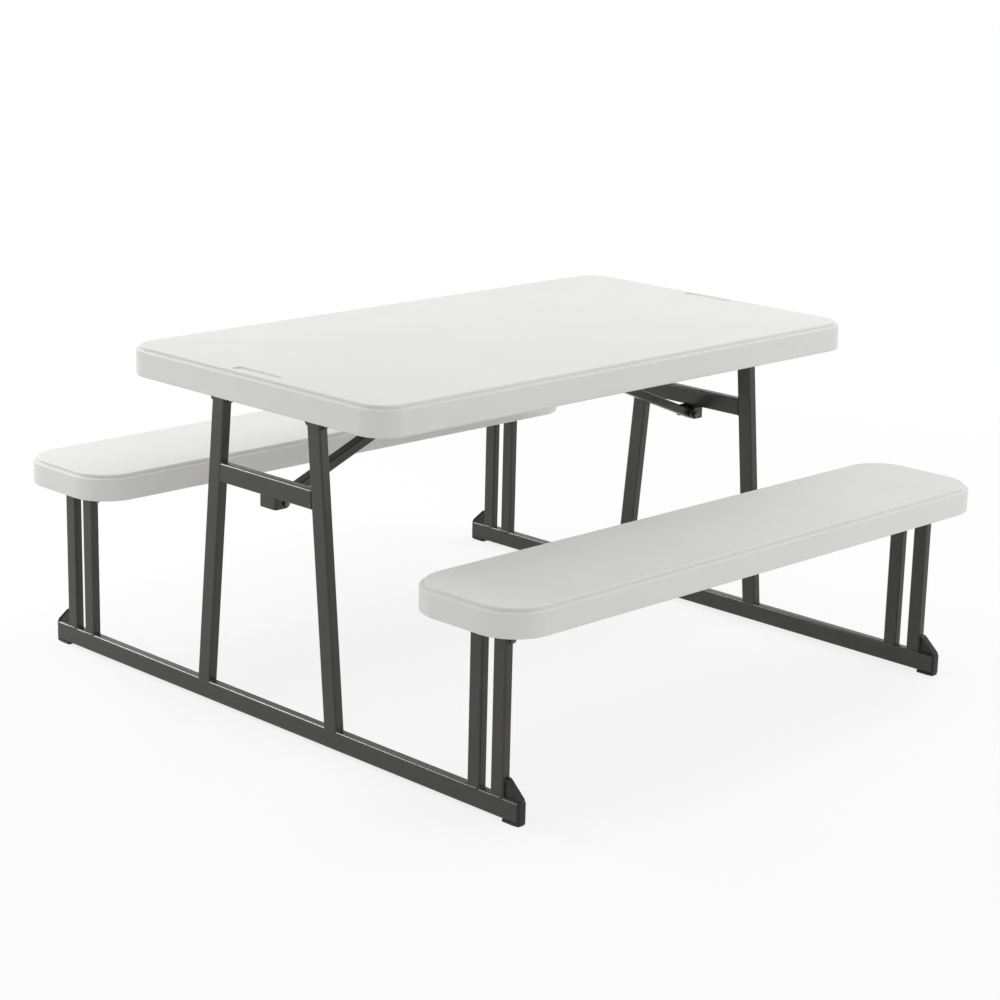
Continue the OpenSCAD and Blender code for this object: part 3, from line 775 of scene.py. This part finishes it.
def foot_wedge(bm, reach, base, top, place):
    """The wedge against the bench leg, with a panel sunk into either side."""
    end = reach - FOOT_END + FOOT_LAP
    crown = (CROWN_REACH, top - CROWN_DROP)
    corners = [(0, base), (end, base), (end, FOOT_SHOULDER - CORNER_R), crown, (0, top)]
    half = WEDGE_WIDTH / 2
    side = [
        (half - WEDGE_SUNK, WEDGE_RIM + WEDGE_SOFT),
        (half - WEDGE_SOFT / 2, WEDGE_RIM + WEDGE_SOFT / 4),
        (half, WEDGE_RIM - WEDGE_SOFT / 4),
        (half, WEDGE_SOFT),
        (half - WEDGE_SOFT / 3, WEDGE_SOFT / 3),
        (half - WEDGE_SOFT, 0.0),
    ]
    rows = []
    for x, inset in side + [(-x, inset) for x, inset in side[::-1]]:
        crown_r = PANEL_CROWN_R if inset > WEDGE_SOFT else CROWN_R
        outline = rounded_polygon(corners, [CORNER_R, CORNER_R, CORNER_R, crown_r, CORNER_R], inset)
        rows.append([(x, along, height) for along, height in outline])
    stacked(bm, rows, place)


print("a wedge is", WEDGE_WIDTH, "m wide")

# %% [markdown]
# ## Four feet
# The four feet are one foot, turned outwards at each end of each rail. Copies could be mirrored by
# hand, but the boxes of the solids already say where each one sits, so a loop builds them in place.

# %% Feet
FOOT_SHARP = 40
HALVES = (("front", -1), ("rear", 1))

for side in ("left", "right"):
    rail_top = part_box(side + "_floor_rail")[1].z
    for half, way in HALVES:
        low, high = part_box(f"{side}_{half}_foot")
        inner = low.y if way > 0 else high.y
        place = Matrix.Translation(((low.x + high.x) / 2, inner, 0)) @ Matrix.Diagonal((1, way, 1, 1))
        bm = bmesh.new()
        foot_cap(bm, high.x - low.x, high.y - low.y, place)
        foot_pad(bm, high.x - low.x, high.y - low.y, place)
        foot_wedge(bm, high.y - low.y, rail_top, high.z, place)
        stand_in(bm, "moulded", f"{side}_{half}_foot", sharp=FOOT_SHARP)

# %% [markdown]
# ## Hexagon bolts
# The legs and braces turn on plated hexagon bolts. What tells a bolt from a plain peg is the chamfer
# that rounds the corners of its head, and the end that stands out of the nut. Head, shank, nut and end
# follow one another along the bolt, so one stack of rings makes it all: round rows where it is turned,
# hexagon rows where it is cold-headed, with the corners of the outer row dropped along the chamfer.

# %% A hexagon bolt
BOLT_HEX = 0.013
BOLT_HEAD = 0.0052
BOLT_R = 0.004
BOLT_END = 0.002
CHAMFER_R = 0.0062
CHAMFER_SLOPE = math.tan(math.radians(30))
FACE_R = 0.0060  # the washer face under head and nut
FACE_RISE = 0.0004
NUT_MOUTH_R = 0.0047
THREAD_ROOT_R = 0.0035
THREAD_PITCH = 0.0008
AROUND = 24


def turned(radius, height):
    """A round row."""
    turns = [2 * math.pi * step / AROUND for step in range(AROUND)]
    return [(radius * math.cos(turn), radius * math.sin(turn), height) for turn in turns]


def hexagon(height, slope=0.0):
    """A hexagon row, whose corners a slope pushes along the bolt."""
    points = []
    for step in range(AROUND):
        turn = 2 * math.pi * step / AROUND
        radius = BOLT_HEX / 2 / math.cos(turn % (math.pi / 3) - math.pi / 6)
        rise = slope * (radius - CHAMFER_R)
        points.append((radius * math.cos(turn), radius * math.sin(turn), height + rise))
    return points


def bolt(bm, place, grip):
    """A bolt along Z with its head below the place and its nut past the grip."""
    outer = grip + BOLT_HEAD
    rows = [
        turned(CHAMFER_R, -BOLT_HEAD),
        hexagon(-BOLT_HEAD, CHAMFER_SLOPE),
        hexagon(-FACE_RISE),
        turned(FACE_R, 0),
        turned(BOLT_R, 0),
        turned(BOLT_R, grip),
        turned(FACE_R, grip),
        hexagon(grip + FACE_RISE),
        hexagon(outer, -CHAMFER_SLOPE),
        turned(CHAMFER_R, outer),
        turned(NUT_MOUTH_R, outer),
    ]
    along = outer - THREAD_PITCH
    while along < outer + BOLT_END - THREAD_PITCH / 2:
        rows += [turned(BOLT_R, along), turned(THREAD_ROOT_R, along + THREAD_PITCH / 2)]
        along += THREAD_PITCH
    stacked(bm, rows, place)


def along_y(x, y, z, way):
    """A place whose Z runs along Y, one way or the other."""
    return Matrix.Translation((x, y, z)) @ Matrix.Rotation(math.radians(-90 * way), 4, "X")


def middle(node_name):
    """The middle of a solid's box."""
    low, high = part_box(node_name)
    return (low + high) / 2


print("a bolt is", 2 * BOLT_R, "m thick")

# %% [markdown]
# ## Bolts in their places
# Each bolt goes through both cheeks of a bracket. The places could be typed in, but then a change of
# the solids would leave the bolts behind. So each bolt takes its axis from its own solid and its grip
# from the outer faces of the bracket.

# %% Bolts
BOLT_SHARP = 25

frame_x = middle("right_floor_rail").x
rail_y = middle("rear_table_rail").y
for side in ("left", "right"):
    axis = middle(side + "_hinge_bolts")
    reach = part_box(side + "_hinge_brackets")[1].y - rail_y
    bm = bmesh.new()
    for way in (-1, 1):
        bolt(bm, along_y(axis.x, way * (rail_y - reach), axis.z, way), 2 * reach)
    stand_in(bm, "hex", side + "_hinge_bolts", sharp=BOLT_SHARP)

    axis = middle(side + "_brace_bolt")
    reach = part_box(side + "_brace_bracket")[1].y
    bm = bmesh.new()
    bolt(bm, along_y(axis.x, reach, axis.z, -1), 2 * reach)
    stand_in(bm, "hex", side + "_brace_bolt", sharp=BOLT_SHARP)

for half, way in HALVES:
    low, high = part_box(half + "_seat_brackets")
    level_z = middle(half + "_seat_bolts").z
    bm = bmesh.new()
    for x in (-frame_x, frame_x):
        bolt(bm, along_y(x, low.y if way > 0 else high.y, level_z, way), high.y - low.y)
    stand_in(bm, "hex", half + "_seat_bolts", sharp=BOLT_SHARP)

# %% [markdown]
# ## Pan-head screws
# Screws hold the steel rails, brackets and catch to the plastic. From below you see a low domed head
# with a cross recess. The recess could be cut with a boolean, but a ring whose radius swings between
# arm and corner draws the same cross, so the whole screw stays one stack: recess, dome, shank and
# point.

# %% A pan-head screw
SCREW_R = 0.0025
SCREW_HEAD_R = 0.005
SCREW_HEAD = 0.0026
DOME_TURNS = (1.0, 0.7, 0.4, 0.1)
SCREW_POINT = 0.003
SCREW_TIP_R = SCREW_R / 8
CROSS_REACH = 0.0024
CROSS_HALF = 0.0005
CROSS_DEPTH = 0.0014
CROSS_TAPER = 0.55


def cross(scale, height):
    """A row round the cross recess."""
    points = []
    for step in range(AROUND):
        turn = 2 * math.pi * step / AROUND
        off_arm = (turn + math.pi / 4) % (math.pi / 2) - math.pi / 4
        reach = CROSS_REACH / math.cos(off_arm)
        if abs(math.tan(off_arm)) * CROSS_REACH > CROSS_HALF:
            reach = CROSS_HALF / abs(math.sin(off_arm))
        points.append((scale * reach * math.cos(turn), scale * reach * math.sin(turn), height))
    return points


def screw(bm, x, y, seat, reach):
    """A screw that points up from its seat."""
    dome = [(SCREW_HEAD_R * math.cos(turn), -SCREW_HEAD * math.sin(turn)) for turn in DOME_TURNS]
    rows = [cross(CROSS_TAPER, CROSS_DEPTH - SCREW_HEAD), cross(1.0, -SCREW_HEAD)]
    rows += [turned(radius, height) for radius, height in dome]
    rows += [turned(SCREW_HEAD_R, 0), turned(SCREW_R, 0)]
    rows += [turned(SCREW_R, reach - SCREW_POINT), turned(SCREW_TIP_R, reach)]
    stacked(bm, rows, Matrix.Translation((x, y, seat)))


print("a screw head is", 2 * SCREW_HEAD_R, "m across")

# %% [markdown]
# ## Screws in their places
# The screws of the rails and the catch stand in even rows, and every row of a bracket has two. They
# could be copied one by one, but loops that read the boxes of the solids keep each screw in its hole.

# %% Screws
SCREW_EDGE = 0.008  # from a bracket's end to its screws
SCREW_MARGIN = 0.202  # from a seat rail's end to its first screw
BRACKET_SCREW = 0.0075  # length of a bracket's screw past its seat
TABLE_RAIL_SCREWS = 4
SEAT_RAIL_SCREWS = 3
CATCH_SCREWS = 3
SCREW_SHARP = 35


def evenly(low, high, count):
    """Values an even step apart, from low to high."""
    return [low + (high - low) * i / (count - 1) for i in range(count)]


def screw_group(node_name, count):
    """The screws of one solid that stand in even rows from end to end."""
    low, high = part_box(node_name)
    rows_y = sorted({round(low.y + SCREW_HEAD_R, 4), round(high.y - SCREW_HEAD_R, 4)})
    places = [(x, y) for x in evenly(low.x + SCREW_HEAD_R, high.x - SCREW_HEAD_R, count) for y in rows_y]
    bm = bmesh.new()
    for x, y in places:
        screw(bm, x, y, low.z + SCREW_HEAD, high.z - low.z - SCREW_HEAD)
    stand_in(bm, "pan", node_name, sharp=SCREW_SHARP)


def bracket_screws(bm, rows_y, seat, bracket_half):
    """Two screws in every row of every bracket."""
    for end in (-frame_x, frame_x):
        for x in (end - bracket_half + SCREW_EDGE, end + bracket_half - SCREW_EDGE):
            for y in rows_y:
                screw(bm, x, y, seat, BRACKET_SCREW)


screw_group("table_rail_screws", TABLE_RAIL_SCREWS)
screw_group("catch_screws", CATCH_SCREWS)

low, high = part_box("right_hinge_brackets")
bracket_half = (high.x - low.x) / 2
bm = bmesh.new()
bracket_screws(bm, (-rail_y, rail_y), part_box("hinge_bracket_screws")[0].z + SCREW_HEAD, bracket_half)
stand_in(bm, "pan", "hinge_bracket_screws", sharp=SCREW_SHARP)

for half in ("front", "rear"):
    low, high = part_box(half + "_seat_screws")
    rails_low, rails_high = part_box(half + "_seat_rails")
    rows_y = (low.y + SCREW_HEAD_R, high.y - SCREW_HEAD_R)
    bm = bmesh.new()
    bracket_screws(bm, rows_y, low.z + SCREW_HEAD, bracket_half)
    for x in evenly(rails_low.x + SCREW_MARGIN, rails_high.x - SCREW_MARGIN, SEAT_RAIL_SCREWS):
        for y in rows_y:
            screw(bm, x, y, rails_low.z, high.z - rails_low.z)
    stand_in(bm, "pan", half + "_seat_screws", sharp=SCREW_SHARP)

# %% [markdown]
# ## Pressed brackets
# The hinge brackets, the brackets of the braces and the catch are sheet steel, bent in a press, so
# their corners are round bends of an even thickness. Boxes joined at right angles would miss that.
# Instead we draw the line that the sheet follows, round its corners, and give the sheet its width at
# every point of that line: narrow and round at a cheek's tip, wide across the web. A small bevel takes
# off the cut edges.

# %% Bent sheet
PLATE = 0.003
BEND_R = 0.005
CUT_EDGE = 0.0005
BEND_STEPS = 5
BENT_SHARP = 35


def bent_line(corners, stops):
    """(gap from the nearer end, point, outward normal) along a bent line, with stops near both ends."""
    corners = [Vector(corner) for corner in corners]
    steps = [(after - before).normalized() for before, after in zip(corners, corners[1:])]
    outward = [Vector((-step.y, step.x)) for step in steps]
    line = [(stop, corners[0] + stop * steps[0], outward[0]) for stop in stops]
    for corner, one, other in zip(corners[1:-1], outward, outward[1:]):
        turn = math.atan2(one.x * other.y - one.y * other.x, one.dot(other))
        radius = BEND_R if turn < 0 else PLATE - BEND_R
        centre = corner - radius * (one + other) / (1 + one.dot(other))
        for step in range(BEND_STEPS + 1):
            normal = Matrix.Rotation(turn * step / BEND_STEPS, 2) @ one
            line.append((math.inf, centre + radius * normal, normal))
    return line + [(stop, corners[-1] - stop * steps[-1], outward[-1]) for stop in reversed(stops)]


def bent_sheet(bm, corners, stops, width_at, place):
    """A bent sheet. Its line runs in the second and third axis, and its width along the first."""
    rows = []
    for gap, point, normal in bent_line(corners, stops):
        low, high = width_at(gap)
        inside = point - PLATE * normal
        rows.append([(low, *point), (high, *point), (high, *inside), (low, *inside)])
    stacked(bm, rows, place)


def round_stops(radius, count=6):
    """Stops that follow a round end."""
    return [radius * (1 - math.cos(math.pi / 2 * (i + 0.5) / (count + 0.5))) for i in range(count + 1)]


def half_round(radius, gap):
    """Half the width of a round end at a distance from its tip."""
    return math.sqrt(max(0.0, radius**2 - (radius - gap) ** 2))


print("the sheet is", PLATE, "m thick")

# %% [markdown]
# ## Hinge brackets
# A hinge bracket is a channel over the top of a leg: a web under the rail, and two cheeks that narrow
# to the pivot bolt. It could be a box with its middle cut out. As a bent sheet it has even walls and
# round bends, and the same function serves the table legs and the bench legs.

# %% Hinge brackets
CHEEK_R = 0.010


def hinge_bracket(bm, place, half_x, half_y, low, top):
    """A channel over a leg: a web under the rail and two cheeks that narrow to the pivot."""
    shoulder = top - PLATE - low

    def width_at(gap):
        if gap < CHEEK_R:
            half = half_round(CHEEK_R, gap)
        else:
            half = CHEEK_R + (half_x - CHEEK_R) * min(1.0, (gap - CHEEK_R) / (shoulder - CHEEK_R))
        return -half, half

    corners = [(-half_y, low), (-half_y, top), (half_y, top), (half_y, low)]
    bent_sheet(bm, corners, round_stops(CHEEK_R), width_at, place)


for side in ("left", "right"):
    low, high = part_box(side + "_hinge_brackets")
    bm = bmesh.new()
    for way in (-1, 1):
        place = Matrix.Translation(((low.x + high.x) / 2, way * rail_y, 0))
        hinge_bracket(bm, place, (high.x - low.x) / 2, high.y - rail_y, low.z, high.z)
    stand_in(bm, "pressed", side + "_hinge_brackets", sharp=BENT_SHARP, soften=CUT_EDGE)

for half in ("front", "rear"):
    low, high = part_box(half + "_seat_brackets")
    bm = bmesh.new()
    for x in (-frame_x, frame_x):
        place = Matrix.Translation((x, (low.y + high.y) / 2, 0))
        hinge_bracket(bm, place, high.x - frame_x, (high.y - low.y) / 2, low.z, high.z)
    stand_in(bm, "pressed", half + "_seat_brackets", sharp=BENT_SHARP, soften=CUT_EDGE)

# %% [markdown]
# ## Brace brackets and the catch
# Each brace turns in a small bracket under its crossbar, and its upper end rests in a long catch under
# the top, whose lips flare to let the tip in. Solid blocks would do at a distance, but from below you
# look straight into both. They are bent sheets too: the cheeks of a bracket end in a half round about
# the bolt, and the right bracket is the left one mirrored.

# %% Brace brackets and the catch
CATCH_DEPTH = 0.022
LINE_TO_XY = Matrix(((0, 1, 0, 0), (0, 0, 1, 0), (1, 0, 0, 0), (0, 0, 0, 1)))

web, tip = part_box("left_brace_bracket")
pivot_z = middle("left_brace_bolt").z
tip_r = pivot_z - web.z
corners = [(tip.x, web.y), (web.x, web.y), (web.x, tip.y), (tip.x, tip.y)]
stops = round_stops(tip_r) + [tip_r + PLATE]


def bracket_height(gap):
    """Bottom and top of the bracket's sheet at a distance from a cheek's tip."""
    if gap <= tip_r:
        half = half_round(tip_r, gap)
        return pivot_z - half, pivot_z + half
    return web.z, tip.z


for side, way in (("left", 1), ("right", -1)):
    bm = bmesh.new()
    bent_sheet(bm, corners, stops, bracket_height, Matrix.Diagonal((way, 1, 1, 1)) @ LINE_TO_XY)
    stand_in(bm, "pressed", side + "_brace_bracket", sharp=BENT_SHARP, soften=CUT_EDGE)

low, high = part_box("brace_catch")
cheek_y = high.y - CATCH_LIP
lip_z = high.z - CATCH_DEPTH
front_half = [(-high.y, low.z), (-cheek_y, lip_z), (-cheek_y, high.z)]
corners = front_half + [(-y, z) for y, z in reversed(front_half)]
bm = bmesh.new()
bent_sheet(bm, corners, [0.0], lambda gap: (low.x, high.x), Matrix())
stand_in(bm, "pressed", "brace_catch", sharp=BENT_SHARP, soften=CUT_EDGE)

# %% [markdown]
# ## Weld beads
# The end frames are welded, and under the powder coat you can still see the beads: short rippled ridges
# where the legs stand on the floor rail, where the crossbar meets the legs and round the bracket. A
# bump in the coat would look flat from the side, so each bead is a thin stack of rings along a line,
# half sunk in the steel. Its radius rises and falls with every ripple and runs out at both ends.

# %% A weld bead
BEAD_R = 0.0036
FINE_BEAD_R = 0.0026
BEAD_STEP = 0.0008
BEAD_LEAST_STEPS = 8
BEAD_SIDES = 8
BEAD_END = 0.00005  # keeps the first ring open
RIPPLE = 0.0030
RIPPLE_DEPTH = 0.16


def bead(bm, start, end, radius):
    """A weld bead from one point to another."""
    start, end = Vector(start), Vector(end)
    length = (end - start).length
    along = (end - start).normalized()
    one = along.orthogonal().normalized()
    other = along.cross(one)
    count = max(BEAD_LEAST_STEPS, round(length / BEAD_STEP))
    turns = [2 * math.pi * i / BEAD_SIDES for i in range(BEAD_SIDES)]
    rows = []
    for step in range(count + 1):
        gone = length * step / count
        run_out = max(0.0, 1 - (min(gone, length - gone) + BEAD_END) / radius)
        swell = 1 - RIPPLE_DEPTH * (1 - abs(math.cos(math.pi * gone / RIPPLE)))
        size = radius * math.sqrt(1 - run_out**2) * swell
        rows.append([start + gone * along + size * (math.cos(t) * one + math.sin(t) * other) for t in turns])
    stacked(bm, rows, Matrix())


def bead_across(bm, mid, half, y, z, radius):
    """A bead along the table, across a tube."""
    bead(bm, (mid - half, y, z), (mid + half, y, z), radius)


print("a ripple of a bead is", RIPPLE, "m long")

# %% [markdown]
# ## Beads on the frames
# A welder lays a bead wherever one tube meets another and the torch can reach: across the legs, round
# the bench legs, at the ends of the crossbar and round the brace bracket. Beads round every edge would
# be simpler to draw, but there is none where the wedge of a foot sits against the leg. The places
# come from the boxes of the tubes.

# %% Welds
LEG_ACROSS = 0.0382  # width of a leaning leg where it stands on the rail
LEG_LEAN = 0.0899  # how far a leg leans for each metre that it rises
BENCH_LEG_WIDTH = 0.033
BEAD_MARGIN = 0.003


def leg_beads(bm, side, mid, half, top):
    """Beads where the table legs stand on the rail."""
    for end, way in HALVES:
        low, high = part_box(f"{side}_{end}_leg")
        outer = high.y if way > 0 else low.y
        for y in (outer, outer - way * LEG_ACROSS):
            bead_across(bm, mid, half - BEAD_MARGIN, y, top, BEAD_R)


def bench_leg_beads(bm, side, mid, top):
    """Beads where the bench legs stand on the rail."""
    for end, way in HALVES:
        low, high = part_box(f"{side}_{end}_bench_legs")
        inner = low.y if way > 0 else high.y
        outer = high.y if way > 0 else low.y
        half = (high.x - low.x) / 2
        for y in (inner, inner + way * BENCH_LEG_WIDTH, outer - way * BENCH_LEG_WIDTH):
            bead_across(bm, mid, half - BEAD_MARGIN, y, top, FINE_BEAD_R)
        z = top - FINE_BEAD_R / 2
        for start in (inner, outer - way * BENCH_LEG_WIDTH):
            near = start + way * BEAD_MARGIN
            far = start + way * (BENCH_LEG_WIDTH - BEAD_MARGIN)
            for x in (low.x, high.x):
                bead(bm, (x, near, z), (x, far, z), FINE_BEAD_R)


def crossbar_beads(bm, side, mid, half):
    """Beads where the crossbar meets the legs."""
    low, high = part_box(side + "_crossbar")
    upper_y = high.y - (high.z - low.z) * LEG_LEAN
    for way in (-1, 1):
        bead_across(bm, mid, half - BEAD_MARGIN, way * high.y, low.z, BEAD_R)
        bead_across(bm, mid, half - BEAD_MARGIN, way * upper_y, high.z, BEAD_R)


def bracket_beads(bm, side, mid):
    """Beads round the top of the brace bracket."""
    low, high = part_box(side + "_brace_bracket")
    outer = low.x if side == "left" else high.x
    bead(bm, (outer, low.y + BEND_R, high.z), (outer, high.y - BEND_R, high.z), FINE_BEAD_R)
    for y in (low.y, high.y):
        bead(bm, (outer + (mid - outer) * 2, y, high.z), (outer, y, high.z), FINE_BEAD_R)


for side in ("left", "right"):
    rail_low, rail_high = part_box(side + "_floor_rail")
    mid = (rail_low.x + rail_high.x) / 2
    half = (rail_high.x - rail_low.x) / 2
    bm = bmesh.new()
    leg_beads(bm, side, mid, half, rail_high.z)
    bench_leg_beads(bm, side, mid, rail_high.z)
    crossbar_beads(bm, side, mid, half)
    bracket_beads(bm, side, mid)
    finish_piece(bm, side + "_frame_welds", "frame_steel", side + "_frame")

# %% [markdown]
# ## The end

# %% The end
import json
